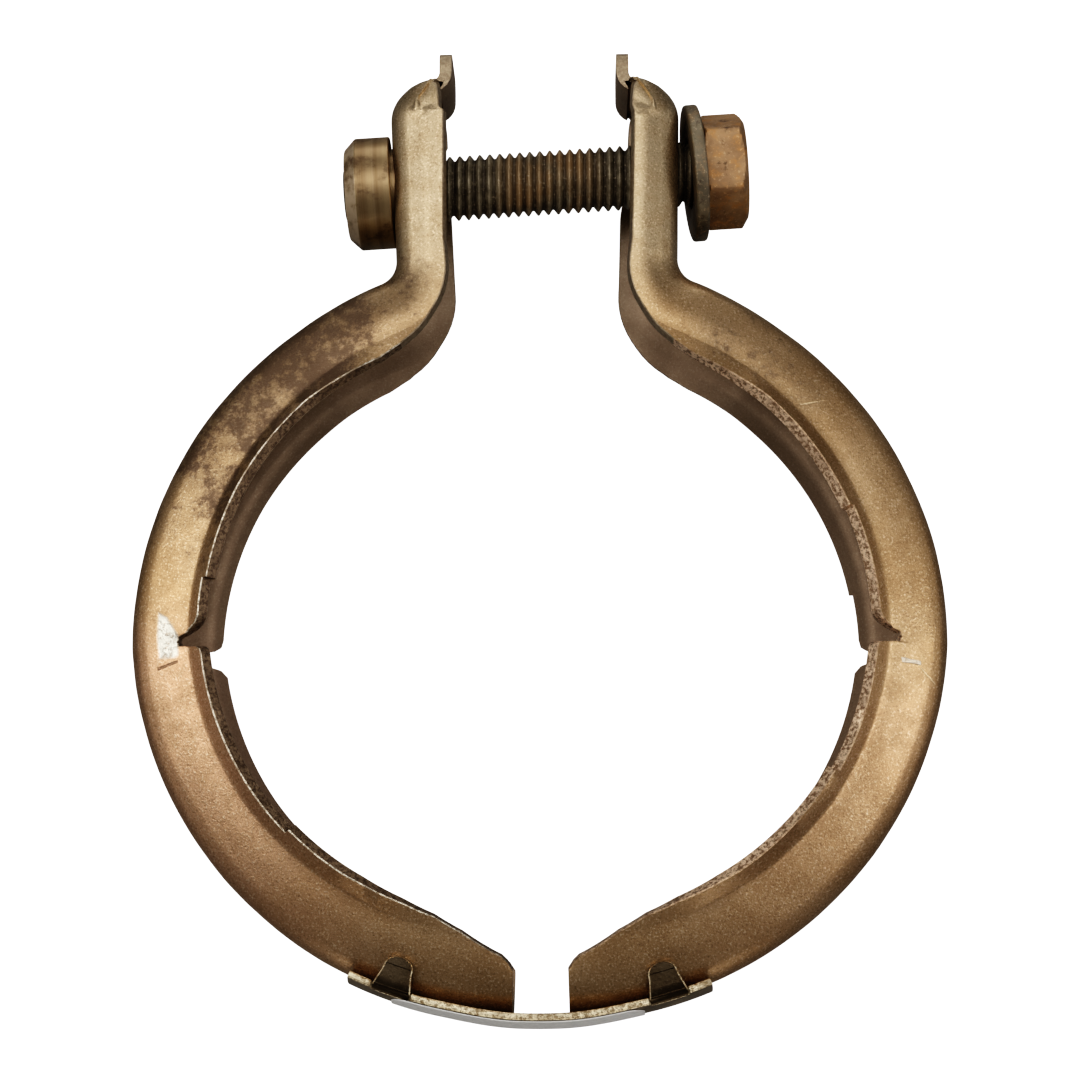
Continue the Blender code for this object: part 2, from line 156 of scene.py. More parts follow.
LOWER_DEPTHS = {
    ("left", "front"): LOWER_START + [(25.0, 10.1), (32.0, 10.2), (32.15, 10.7), (45.0, 10.9)] + LOWER_END,
    ("left", "rear"): LOWER_REAR_START + [(47.1, 10.6), (47.25, 11.0)] + LOWER_END,
    ("right", "front"): LOWER_START + [(21.3, 9.9), (21.45, 10.4), (45.0, 10.8)] + LOWER_END,
    ("right", "rear"): LOWER_REAR_START + [(45.0, 10.8)] + LOWER_END,
}
LOWER_REACH = [(0.0, 10.0), (25.0, 10.2), (45.0, 10.9)]
LOWER_LIP = [(42.0, 1.0), (58.0, 0.0)]

EAR_START = 56.0
NOTCH_RUN = 4.0
STATION_GAP = 0.75
UPPER_TRIMS = [9.4, 9.5, 9.55, 9.65, 19.7, 19.85]
LOWER_TRIMS = [21.3, 21.45, 32.0, 32.15, 47.1, 47.25]

# Fasteners on the bolt's line
BOLT_POINT = Vector((0.0, 57.57))
BOLT_RISE = 3.2
THREAD_RADIUS = 4.0
THREAD_DEPTH = 0.62
THREAD_PITCH = 1.25
THREAD_FORM = [(0.0, 0.0), (0.07, 0.0), (0.42, 1.0), (0.58, 1.0), (0.93, 0.0)]
THREAD_STEPS = 56
BOLT_LENGTH = 45.0
SMEAR_MIDDLE = -19.5
HEAD_UNDERSIDE = 20.95
HEAD_HEIGHT = 5.1
HEAD_ACROSS_FLATS = 13.0
HEAD_CHAMFER_RADIUS = 6.0
HEAD_CHAMFER_SLOPE = 0.62
HEAD_TURN = 3.4
WASHER_NEAR_FACE = 18.95
WASHER_THICKNESS = 1.6
WASHER_RADIUS = 8.5
WASHER_COCK = -2.2
WASHER_TIP = 2.3
CLEARANCE_RADIUS = 4.4
NUT_SEAT = -18.05
NUT_LENGTH = 5.7
NUT_RADIUS = 6.95
NUT_CHAMFER = 1.4
NUT_BORE_RADIUS = 4.3
SPIGOT_RADIUS = 5.4
SPIGOT_LENGTH = 1.0
SPIGOT_HOLE_RADIUS = 5.7
EAR_MIDDLE = 17.6
SLOT_HALF_WIDTH = 4.6
SLOT_TOP = 5.0
SLOT_BOTTOM = -7.4

# The hinge strip and label
STRIP_SHEET = 0.65
STRIP_HALF_WIDTH = 7.6
STRIP_CROWN = 0.8
STRIP_GAP = 0.3
STRIP_BOW = 0.5
STRIP_BOW_REACH = 12.0
STRIP_ENDS = (-22.4, 19.9)
STRIP_INSIDE = -0.15
CLIP_CENTRES = (-17.5, 15.0)
CLIP_HALF_WIDTHS = (2.3, 1.7)
CLIP_HEIGHT = 4.1
CLIP_MIDDLE = 7.33
CLIP_NOTCH = 0.75
CLIP_BEND_RADIUS = 0.62
CLIP_TIP_RADIUS = 1.05
CLIP_SOFTNESS = 0.16
# Faces of each clip's section given the bright edge finish: its cut edges and a rounding, partly a painted
# highlight
CLIP_RIM = (2, 3, 5, 6)
ACROSS_STEPS = 12
LABEL_ENDS = (-17.3, 12.0)
LABEL_HALF_WIDTH = 7.2
LABEL_SHEET = 0.15
LABEL_GAP = 0.05

# The camera, in millimetres in the part's frame
CAMERA_PLACE = Vector((4.79, -61.38, 328.63))
CAMERA_TARGET = Vector((0.12, -1.08, 9.31))
CAMERA_ROLL = 0.31
CAMERA_LENS = 88.83

# The stage, in metres
BACKDROP_RADIUS = 2.6
FLOOR_HALF_SIZE = 3.0
FLOOR_GAP = 0.0002
FLOOR_GLOW = 1.42

# The picture's response to light
FILM_GAIN = 4.25
FILM_SHOULDER = 4.0
FILM_WHITE = 1.5
FILM_TOE = 1.9
FILM_ROLL = 1.6
FILM_PLACES = (0.0, 0.03, 0.06, 0.1, 0.15, 0.22, 0.3, 0.4, 0.5, 0.65, 0.8, 1.0, 1.2, 1.5)


# Small mesh and plan helpers

def between(table, place):
    """Read a table of (place, value) pairs, straight between its rows and level past its ends."""
    for (low, low_value), (high, high_value) in zip(table, table[1:]):
        if place < low:
            return low_value
        if place <= high:
            return low_value + (high_value - low_value) * (place - low) / (high - low)
    return table[-1][1]


def smooth(value, low, high):
    share = min(max((value - low) / (high - low), 0.0), 1.0)
    return share * share * (3.0 - 2.0 * share)


def unit(degrees):
    return Vector((math.cos(math.radians(degrees)), math.sin(math.radians(degrees))))


def placed(plan, height=0.0):
    return (Vector((plan[0], plan[1], height)) + RING_CENTRE) * MM


def add_object(name, data):
    made = bpy.data.objects.new(name, data)
    bpy.context.scene.collection.objects.link(made)
    return made


def mesh_object(name, mesh, finishes):
    data = bpy.data.meshes.new(name)
    mesh.to_mesh(data)
    mesh.free()
    for finish in finishes:
        data.materials.append(finish)
    return add_object(name, data)


def piece_from(name, mesh, finishes, sharp=38.0):
    """Turn a bmesh into a smooth-shaded object with its materials."""
    bmesh.ops.recalc_face_normals(mesh, faces=mesh.faces)
    made = mesh_object(name, mesh, finishes)
    made.data.shade_smooth()
    made.data.set_sharp_from_angle(angle=math.radians(sharp))
    return made


def skin(mesh, rings, closed_ends=True, slot_of=None, cap_slot=0):
    """Join rings of equal count into a closed skin. slot_of gives a face's material by row and place."""
    rows = [[mesh.verts.new(point) for point in ring] for ring in rings]
    count = len(rows[0])
    for number, (row, following) in enumerate(zip(rows, rows[1:])):
        for index in range(count):
            beside = (index + 1) % count
            face = mesh.faces.new((row[index], row[beside], following[beside], following[index]))
            face.material_index = slot_of(number, index) if slot_of else 0
    if closed_ends:
        for row in (rows[0], rows[-1]):
            for index in range(count // 2 - 1):
                opposite = count - 1 - index
                face = mesh.faces.new((row[index], row[index + 1], row[opposite - 1], row[opposite]))
                face.material_index = cap_slot
    return rows


def cut(target, tool):
    """Take a cutter away from a piece and remove the cutter."""
    step = target.modifiers.new("cut", "BOOLEAN")
    step.operation = "DIFFERENCE"
    step.solver = "EXACT"
    step.object = tool
    bpy.context.view_layer.update()
    evaluated = target.evaluated_get(bpy.context.evaluated_depsgraph_get())
    data = bpy.data.meshes.new_from_object(evaluated)
    target.modifiers.clear()
    target.data = data
    bpy.data.objects.remove(tool)


# Shader helpers

def start_material(name):
    made = bpy.data.materials.new(name)
    made.use_nodes = True
    return made, made.node_tree, made.node_tree.nodes["Principled BSDF"]


def add_node(tree, kind, inputs=None, **settings):
    made = tree.nodes.new(kind)
    for key, value in settings.items():
        setattr(made, key, value)
    for key, value in (inputs or {}).items():
        feed(tree, made.inputs[key], value)
    return made


def feed(tree, socket, value):
    if isinstance(value, bpy.types.NodeSocket):
        tree.links.new(value, socket)
    else:
        socket.default_value = value


def calc(tree, operation, first, second=0.0, clamp=False):
    made = add_node(tree, "ShaderNodeMath", {0: first, 1: second}, operation=operation, use_clamp=clamp)
    return made.outputs[0]


def spread(tree, value, low, high, to_low=0.0, to_high=1.0):
    inputs = {"Value": value, "From Min": low, "From Max": high, "To Min": to_low, "To Max": to_high}
    made = add_node(tree, "ShaderNodeMapRange", inputs, interpolation_type="SMOOTHSTEP")
    return made.outputs["Result"]


def mix(tree, factor, first, second, mode="MIX"):
    made = add_node(tree, "ShaderNodeMix", data_type="RGBA", blend_type=mode)
    feed(tree, made.inputs["Factor"], factor)
    feed(tree, made.inputs[6], first if isinstance(first, bpy.types.NodeSocket) else (*first, 1.0))
    feed(tree, made.inputs[7], second if isinstance(second, bpy.types.NodeSocket) else (*second, 1.0))
    return made.outputs[2]


def times(tree, first, second):
    return calc(tree, "MULTIPLY", first, second)


def scaled(tree, value, gain, base):
    return calc(tree, "ADD", times(tree, value, gain), base)


def dab(tree, tone, value, low, high, amount, colour):
    """Lay a colour over a tone where a value rises from low to high."""
    return mix(tree, times(tree, spread(tree, value, low, high), amount), tone, colour)


def surface(tree, shader, tone, metallic, rough, normal):
    """Set what every finish sets on its shader."""
    feed(tree, shader.inputs["Base Color"], tone)
    feed(tree, shader.inputs["Metallic"], metallic)
    feed(tree, shader.inputs["Roughness"], rough)
    feed(tree, shader.inputs["Normal"], normal)


def grain(tree, place, scale, detail=3.0, roughness=0.55):
    inputs = {"Vector": place, "Scale": scale, "Detail": detail, "Roughness": roughness}
    return add_node(tree, "ShaderNodeTexNoise", inputs).outputs["Fac"]


def own_place(tree):
    return add_node(tree, "ShaderNodeTexCoord").outputs["Object"]


def painted(tree, name):
    return add_node(tree, "ShaderNodeAttribute", attribute_name=name).outputs["Fac"]


def bump(tree, height, strength, distance):
    inputs = {"Height": height, "Strength": strength, "Distance": distance}
    return add_node(tree, "ShaderNodeBump", inputs).outputs["Normal"]


# Materials

def region(tree, place, corners, ragged, softness):
    """A mask of a convex outline in the ring's plan, on the near faces only, with a ragged border."""
    middle = sum((Vector(corner) for corner in corners), Vector((0.0, 0.0))) / len(corners)
    depth = FAR_INSIDE
    for index, corner in enumerate(corners):
        start, end = Vector(corner), Vector(corners[(index + 1) % len(corners)])
        normal = Vector((end.y - start.y, start.x - end.x)).normalized()
        if normal.dot(middle - start) > 0.0:
            normal = -normal
        across = add_node(tree, "ShaderNodeVectorMath", {0: place, 1: (normal.x / MM, normal.y / MM, 0.0)},
                          operation="DOT_PRODUCT").outputs["Value"]
        gap = calc(tree, "SUBTRACT", normal.dot(start + RING_CENTRE.xy), across)
        depth = calc(tree, "MINIMUM", depth, gap)
    depth = scaled(tree, calc(tree, "SUBTRACT", ragged, 0.5), RAGGEDNESS, depth)
    height = add_node(tree, "ShaderNodeSeparateXYZ", {0: place}).outputs[2]
    near = spread(tree, height, (RING_CENTRE.z + 2.0) * MM, (RING_CENTRE.z + 4.0) * MM)
    return times(tree, spread(tree, depth, 0.0, softness), near)


def shell_steel(name, marks):
    """Heat-tinted sheet: satin bronze with a fine bright grain and dark speckled stains; the inner faces are
    painted darker and greyer as painted shade.

    Marks are places of wear or pressing, as (outline, colour, strength, softness of the border); two of them
    also carry a painted highlight and one a painted shade.
    """
    made, tree, shader = start_material(name)
    place = own_place(tree)
    cloud = grain(tree, place, 90.0, 4.0)
    mottle = grain(tree, place, 420.0, 5.0, 0.65)
    fine = grain(tree, place, 3900.0, 3.0, 0.7)
    specks = grain(tree, place, 1500.0, 4.0, 0.75)

    tone = mix(tree, spread(tree, cloud, 0.35, 0.65), (0.48, 0.315, 0.175), (0.58, 0.40, 0.24))
    tone = mix(tree, painted(tree, "olive"), tone, (0.54, 0.44, 0.30))
    # A pinkish heat tint and a painted highlight: the lower arcs painted a lighter copper-pink where the side
    # lights fall
    tone = mix(tree, painted(tree, "pink_tint_and_highlight"), tone, (0.64, 0.395, 0.255))
    tone = dab(tree, tone, mottle, 0.4, 0.68, 0.35, (0.36, 0.235, 0.13))
    sparkle = scaled(tree, painted(tree, "scuff"), 0.6, 0.55)
    glitter = times(tree, spread(tree, fine, 0.54, 0.68), sparkle)
    tone = mix(tree, glitter, tone, (0.95, 0.78, 0.56))
    tone = dab(tree, tone, fine, 0.46, 0.32, 0.55, (0.22, 0.14, 0.08))

    blots = grain(tree, place, 620.0, 4.0, 0.7)
    edge_noise = scaled(tree, blots, 1.1, times(tree, specks, 0.6))
    soiled = painted(tree, "stain")
    tone = mix(tree, times(tree, soiled, 0.65), tone, (0.36, 0.275, 0.185))
    stained = calc(tree, "ADD", soiled, calc(tree, "SUBTRACT", edge_noise, 0.87))
    stain = spread(tree, stained, 0.34, 0.68)
    tone = mix(tree, times(tree, stain, 0.72), tone, (0.130, 0.088, 0.066))
    tone = dab(tree, tone, specks, 0.66, 0.72, 0.5, (0.10, 0.06, 0.04))
    # Painted shade: the inner faces darker and greyer than the outer ones
    tone = mix(tree, times(tree, painted(tree, "inner"), 0.7), tone, (0.34, 0.265, 0.21))
    marked = 0.0
    flecks = spread(tree, specks, 0.52, 0.64, 1.0, 0.55)
    # Lay the marks over the tone, their painted highlight and painted shade among them
    for outline, colour, strength, softness in marks:
        mask = times(tree, region(tree, place, outline, mottle, softness), strength)
        mask = times(tree, mask, flecks)
        tone = mix(tree, mask, tone, colour)
        marked = calc(tree, "ADD", marked, mask)

    rough = scaled(tree, mottle, 0.2, 0.30)
    rough = scaled(tree, stain, 0.12, rough)
    rough = scaled(tree, painted(tree, "inner"), 0.2, rough)
    lumps = scaled(tree, mottle, 0.5, fine)
    lumps = scaled(tree, marked, -1.2, lumps)
    surface(tree, shader, tone, 0.9, rough, bump(tree, lumps, 0.28, 0.00012))
    return made


def cut_steel(name, bright, dark, patchy=0.55):
    """The sheared edge of the sheet: coarse bright crystals between dark ones."""
    made, tree, shader = start_material(name)
    place = own_place(tree)
    coarse = grain(tree, place, 2100.0, 3.0, 0.75)
    patch = grain(tree, place, 260.0, 3.0)
    tone = mix(tree, spread(tree, coarse, 0.38, 0.60), dark, bright)
    tone = dab(tree, tone, patch, 0.5, 0.7, patchy, dark)
    surface(tree, shader, tone, 0.75, 0.45, bump(tree, coarse, 0.6, 0.0002))
    return made


def bolt_steel(name):
    """Oxidised thread with olive grey crests, roots painted much darker, and a brown smear halfway along."""
    made, tree, shader = start_material(name)
    place = own_place(tree)
    dust = grain(tree, place, 700.0, 5.0, 0.7)
    fine = grain(tree, place, 2400.0, 3.0, 0.7)
    cloud = grain(tree, place, 130.0, 3.0)
    tone = mix(tree, spread(tree, dust, 0.35, 0.68), (0.17, 0.14, 0.098), (0.33, 0.28, 0.20))
    tone = mix(tree, times(tree, painted(tree, "smear"), spread(tree, cloud, 0.3, 0.6)), tone,
               (0.34, 0.23, 0.13))
    # The thread's roots are painted much darker than its crests
    tone = mix(tree, times(tree, painted(tree, "root"), 0.75), tone, (0.05, 0.036, 0.024))
    tone = dab(tree, tone, fine, 0.56, 0.68, 0.5, (0.55, 0.46, 0.33))
    surface(tree, shader, tone, 0.4, scaled(tree, dust, 0.25, 0.36), bump(tree, fine, 0.4, 0.00015))
    return made


def rusty_steel(name, pale, deep, rust):
    """Weathered head or washer: brown oxide with orange patches and darker pits."""
    made, tree, shader = start_material(name)
    place = own_place(tree)
    cloud = grain(tree, place, 210.0, 5.0, 0.62)
    patch = grain(tree, place, 620.0, 5.0, 0.7)
    fine = grain(tree, place, 2500.0, 3.0, 0.7)
    tone = mix(tree, spread(tree, cloud, 0.35, 0.65), deep, pale)
    tone = dab(tree, tone, patch, 0.48, 0.66, 0.7, rust)
    tone = dab(tree, tone, patch, 0.42, 0.30, 0.7, (0.10, 0.065, 0.04))
    tone = dab(tree, tone, fine, 0.57, 0.68, 0.4, (0.72, 0.56, 0.38))
    lumps = calc(tree, "ADD", fine, patch)
    surface(tree, shader, tone, 0.5, scaled(tree, patch, 0.3, 0.34), bump(tree, lumps, 0.35, 0.0002))
    return made


def turned_steel(name):
    """The turned nut: fine lathe rings round its own axis under a brown tint."""
    made, tree, shader = start_material(name)
    place = own_place(tree)
    parts = add_node(tree, "ShaderNodeSeparateXYZ", {0: place}).outputs
    across = calc(tree, "SQRT", calc(tree, "ADD", times(tree, parts[0], parts[0]),
                                     times(tree, parts[1], parts[1])))
    around = add_node(tree, "ShaderNodeCombineXYZ", {0: across, 1: 0.0, 2: parts[2]}).outputs[0]
    rings = grain(tree, around, 3800.0, 4.0, 0.7)
    bands = grain(tree, around, 700.0, 3.0)
    patch = grain(tree, place, 330.0, 5.0, 0.65)
    tone = mix(tree, spread(tree, bands, 0.35, 0.65), (0.30, 0.21, 0.12), (0.42, 0.31, 0.185))
    tone = dab(tree, tone, rings, 0.5, 0.7, 0.4, (0.62, 0.48, 0.32))
    tone = dab(tree, tone, patch, 0.50, 0.68, 0.6, (0.13, 0.08, 0.05))
    # Painted highlight: the end chamfer lighter and less metallic where the patches are faint, for the side
    # light it catches
    brink = NUT_CHAMFER - NUT_LENGTH
    chamfer = spread(tree, parts[2], (brink + 0.1) * MM, (brink - 0.1) * MM)
    unpatched = spread(tree, patch, 0.68, 0.45)
    tone = mix(tree, times(tree, chamfer, unpatched), tone, (0.54, 0.42, 0.29))
    metallic = spread(tree, chamfer, 0.0, 1.0, 0.8, 0.45)
    surface(tree, shader, tone, metallic, scaled(tree, patch, 0.25, 0.30), bump(tree, rings, 0.35, 0.00012))
    return made


def spring_steel(name):
    """The strip's sheet: dull grey-gold with darker smudges, its clips painted near-black as a painted
    reflection of the dark surround above.
    """
    made, tree, shader = start_material(name)
    place = own_place(tree)
    cloud = grain(tree, place, 160.0, 4.0, 0.6)
    fine = grain(tree, place, 2400.0, 3.0, 0.7)
    tone = mix(tree, spread(tree, cloud, 0.35, 0.65), (0.26, 0.185, 0.11), (0.42, 0.33, 0.22))
    tone = dab(tree, tone, fine, 0.55, 0.68, 0.45, (0.80, 0.66, 0.45))
    # Painted reflection: the clips near-black, as they mirror the dark surround
    tone = mix(tree, painted(tree, "tab"), tone, (0.040, 0.028, 0.018))
    surface(tree, shader, tone, 0.9, scaled(tree, cloud, 0.2, 0.28), bump(tree, fine, 0.25, 0.0001))
    return made


def paper(name):
    """Blank label paper: soft white with faint fibres and a little grime."""
    made, tree, shader = start_material(name)
    place = own_place(tree)
    fibre = grain(tree, place, 1800.0, 4.0, 0.7)
    grime = grain(tree, place, 240.0, 5.0, 0.65)
    tone = mix(tree, spread(tree, fibre, 0.35, 0.65), (0.80, 0.785, 0.76), (0.90, 0.885, 0.86))
    tone = dab(tree, tone, grime, 0.58, 0.75, 0.35, (0.45, 0.42, 0.38))
    surface(tree, shader, tone, 0.0, 0.6, bump(tree, fibre, 0.2, 0.00008))
    return made


# The shells

def wall_path(start, full_reach, lip):
    """The outer face beyond the shoulder, by the way along it: a straight wall, a small bend and a lip."""
    lip_turn = WALL_FLARE + lip * (LIP_ANGLE - WALL_FLARE)
    bend = math.radians(lip_turn - WALL_FLARE)
    along_wall, along_lip = unit(WALL_FLARE), unit(lip_turn)
    corner_inward = full_reach - SHEET * along_lip.y - LIP_LENGTH * along_lip.x
    wall = max((corner_inward - start.x) / along_wall.x - LIP_BEND_RADIUS * math.tan(bend / 2), 0.5)
    bend_length = LIP_BEND_RADIUS * bend
    bend_centre = start + along_wall * wall + Vector((-along_wall.y, along_wall.x)) * LIP_BEND_RADIUS

    def at(distance):
        if distance <= wall:
            return start + along_wall * distance, WALL_FLARE
        turn = WALL_FLARE + math.degrees(min((distance - wall) / LIP_BEND_RADIUS, bend))
        way = unit(turn)
        point = bend_centre - Vector((-way.y, way.x)) * LIP_BEND_RADIUS
        return point + way * max(distance - wall - bend_length, 0.0), turn

    return at, wall, bend_length


def half_outer(reach, full_reach, lip, web_flat, crown):
    """Half the channel's outer face with its normals, as (inward, height) pairs from beside the web's middle.

    The wall, bend and lip follow the full reach, and the sheet is trimmed off at the real reach.
    """
    faces = [(Vector((0.0, web_flat * step / FLAT_STEPS)), Vector((-1.0, 0.0)))
             for step in range(1, FLAT_STEPS + 1)]
    last_turn = 90.0 - WALL_FLARE
    for step in range(1, SHOULDER_STEPS + 1):
        way = unit(last_turn * step / SHOULDER_STEPS)
        faces.append((Vector((SHOULDER_RADIUS * (1 - way.x), web_flat + SHOULDER_RADIUS * way.y)),
                      Vector((-way.x, way.y))))
    at, wall, bend_length = wall_path(faces[-1][0], full_reach, lip)
    low, high = 0.0, LONGEST_WALL
    for halving in range(22):
        middle = (low + high) / 2
        point, turn = at(middle)
        if point.x + SHEET * unit(turn).y < reach:
            low = middle
        else:
            high = middle
    stops = [wall * step / WALL_STEPS for step in range(1, WALL_STEPS + 1)]
    stops += [wall + (bend_length + 0.2) * step / BEND_STEPS for step in range(1, BEND_STEPS + 1)]
    stops.append(LONGEST_WALL)
    for index, stop in enumerate(stops):
        latest = low - EDGE_ROUNDING - SQUEEZE * (len(stops) - 1 - index)
        way_along = min(stop, latest)
        point, turn = at(way_along)
        normal = Vector((-unit(turn).y, unit(turn).x))
        swell = crown * math.sin(math.pi * min(way_along / min(wall, low), 1.0))
        faces.append((point + normal * swell, normal))
    tip, turn = at(low)
    return faces, tip, Vector((-unit(turn).y, unit(turn).x))


def half_ring(reach, full_reach, lip, web_flat, crown, flatness, half_width):
    """One half of a closed section: the outer face, the edge, and the inner face."""
    faces, tip, normal = half_outer(reach, full_reach, lip, web_flat, crown)
    outer = [point for point, way in faces]
    inner = [point - way * SHEET for point, way in faces]
    edge = [tip - normal * EDGE_ROUNDING, tip - normal * (SHEET - EDGE_ROUNDING)]
    if flatness:
        travelled = [outer[0].length]
        for before, point in zip(outer, outer[1:]):
            travelled.append(travelled[-1] + (point - before).length)
        limit = half_width - EDGE_ROUNDING * 0.3
        flat = [Vector((0.0, limit * way / travelled[-1])) for way in travelled]
        outer = [point.lerp(level, flatness) for point, level in zip(outer, flat)]
        inner = [point.lerp(level + Vector((SHEET, 0.0)), flatness) for point, level in zip(inner, flat)]
        edge = [edge[0].lerp(Vector((EDGE_ROUNDING, half_width)), flatness),
                edge[1].lerp(Vector((SHEET - EDGE_ROUNDING, half_width)), flatness)]
    return outer, edge, inner


def station(point, heading, travelled, arc, toward=None, flatness=0.0, half_width=TAB_HALF_WIDTH, depth=None,
            straight=0.0):
    """One place along the shell's web, and where its walls' edge lies when that isn't straight inwards."""
    inward = unit(heading + 90.0)
    return {"point": point, "inward": inward, "travelled": travelled, "arc": arc, "flatness": flatness,
            "half_width": half_width, "depth": depth, "straight": straight,
            "edge": (toward - point).normalized() if toward else inward}


def arc_places(start, heading, radius, turn, steps):
    side = 90.0 if turn > 0 else -90.0
    centre = start + unit(heading + side) * radius
    return [(centre - unit(heading + turn * step / steps + side) * radius, heading + turn * step / steps)
            for step in range(1, steps + 1)]


def line_places(start, heading, length, steps):
    return [(start + unit(heading) * (length * step / steps), heading) for step in range(1, steps + 1)]


def run_of_places(low, high, gap, extras):
    """Evenly spaced places with extra ones at the trim steps."""
    count = round((high - low) / gap)
    return sorted({round(low + (high - low) * step / count, 3) for step in range(count + 1)} | set(extras))


def upper_stations(side):
    """From the notch up the upper arc, round the corner, up the ear, over its top and up the end tab."""
    whole = math.radians(UPPER_TURN) * WEB_RADIUS
    places = run_of_places(0.0, NOTCH_RUN, 0.2, []) + run_of_places(4.6, whole, STATION_GAP, UPPER_TRIMS)
    found = []
    for travelled in places:
        angle = NOTCH_ANGLE + math.degrees(travelled / WEB_RADIUS)
        heading = 90.0 + (angle if travelled else angle - KINK / 2)
        found.append(station(UPPER_CENTRE + unit(angle) * WEB_RADIUS, heading, travelled, "upper"))
    heading = 90.0 + NOTCH_ANGLE + UPPER_TURN
    corner = arc_places(found[-1]["point"], heading, EAR_CORNER_RADIUS, 90.0 - EAR_LEAN[side] - heading, 12)
    rise = line_places(corner[-1][0], corner[-1][1], EAR_LENGTH, 22)
    travelled = places[-1]
    for point, direction in corner + rise:
        travelled += (point - found[-1]["point"]).length
        found.append(station(point, direction, travelled, "upper"))

    over = arc_places(rise[-1][0], rise[-1][1], EAR_TOP_RADIUS, EAR_TOP_TURN, OVER_STEPS)
    edge_low = found[-1]["point"].y
    for step, (point, direction) in enumerate(over, start=1):
        climb = min(step / EDGE_STEPS, 1.0)
        edge = Vector((EAR_WALL_X + EDGE_SHIFT * climb ** 2,
                       edge_low + EDGE_CLIMB * math.sin(math.pi / 2 * climb)))
        found.append(station(point, direction, travelled, "upper", toward=edge,
                             flatness=smooth(step, *FLATTENING), straight=smooth(step, *STRAIGHTENING),
                             depth=max((edge - point).length, SHORTEST_WALL)))
    edge = edge - Vector((EDGE_UNDER_FLAT, 0.0))
    flat = line_places(over[-1][0], over[-1][1], EAR_TOP_FLAT, 3)
    for step, (point, direction) in enumerate(flat, start=OVER_STEPS + 1):
        found.append(station(point, direction, travelled, "upper", toward=edge,
                             flatness=smooth(step, *FLATTENING), straight=1.0, depth=SHORTEST_WALL))
    fold = arc_places(flat[-1][0], flat[-1][1], TAB_FOLD_RADIUS, 90.0 - flat[-1][1], 6)
    tab = line_places(fold[-1][0], 90.0, TAB_HEIGHT - TAB_CORNER, 3)
    for point, direction in fold + tab:
        found.append(station(point, direction, travelled, "upper", flatness=1.0, depth=TAB_WALL))
    for step in range(1, 9):
        turn = math.radians(90.0 * step / 8 - 3.0)
        point = tab[-1][0] + Vector((0.0, TAB_CORNER * math.sin(turn)))
        found.append(station(point, 90.0, travelled, "upper", flatness=1.0, depth=TAB_WALL,
                             half_width=TAB_HALF_WIDTH - TAB_CORNER * (1 - math.cos(turn))))
    return found


def lower_stations():
    """From beside the notch down the lower arc to the shell's end above the hinge strip."""
    notch = UPPER_CENTRE + unit(NOTCH_ANGLE) * WEB_RADIUS
    centre = notch - unit(NOTCH_ANGLE - KINK) * WEB_RADIUS
    whole = math.radians(LOWER_TURN) * WEB_RADIUS
    places = run_of_places(0.3, NOTCH_RUN, 0.15, []) + run_of_places(4.6, 66.0, STATION_GAP, LOWER_TRIMS)
    places += [66.5, 67.0, 67.4, 67.8, 68.2, 68.5, whole]
    found = []
    for travelled in places:
        angle = NOTCH_ANGLE - KINK - math.degrees(travelled / WEB_RADIUS)
        found.append(station(centre + unit(angle) * WEB_RADIUS, angle + 90.0, travelled, "lower"))
    return found


def face_reach(place, side, face):
    """The wall's reach, the untrimmed reach, and how far the lip is turned out, on one face of the shell."""
    if place["depth"] is not None:
        return place["depth"], place["depth"], 0.0
    if place["arc"] == "upper":
        tables = UPPER_DEPTHS[side, face], UPPER_REACH, UPPER_LIP
    else:
        tables = LOWER_DEPTHS[side, face], LOWER_REACH, LOWER_LIP
    return [between(table, place["travelled"]) for table in tables]


def section_at(place, side):
    """The closed section at one station, as (inward, height, kind, reach) for each point."""
    on_upper = place["arc"] == "upper"
    web_flat = between(UPPER_FLAT, place["travelled"]) if on_upper else WEB_FLAT
    crown = between(WALL_CROWN, place["travelled"]) if on_upper else WALL_CROWN[0][1]
    halves = {}
    for face in ("front", "rear"):
        reach, full_reach, lip = face_reach(place, side, face)
        half = half_ring(reach, full_reach, lip, web_flat, crown, place["flatness"], place["half_width"])
        halves[face] = half + (reach,)
    front, rear = halves["front"], halves["rear"]
    around = [(point, -1, OUTER) for point in reversed(rear[0])] + [(Vector((0.0, 0.0)), 1, OUTER)]
    around += [(point, 1, OUTER) for point in front[0]] + [(point, 1, CUT_EDGE) for point in front[1]]
    around += [(point, 1, INNER) for point in reversed(front[2])] + [(Vector((SHEET, 0.0)), 1, INNER)]
    around += [(point, -1, INNER) for point in rear[2]]
    around += [(point, -1, CUT_EDGE) for point in reversed(rear[1])]
    reaches = {1: front[3], -1: rear[3]}
    return [(point.x, point.y * sign, kind, reaches[sign]) for point, sign, kind in around]


def shell_ring(place, side):
    """One section's points round the ring, deep ones leaning towards the walls' edge, and their kinds."""
    sign = 1.0 if side == "right" else -1.0
    points = []
    for inward, height, kind, depth in section_at(place, side):
        share = min(max((inward - SHEET) / max(depth - SHEET, 0.1), 0.0), 1.0)
        way = place["inward"].lerp(place["edge"], max(share, place["straight"]))
        plan = place["point"] + way * inward
        points.append((Vector((plan.x * sign, plan.y, height)), kind))
    return points


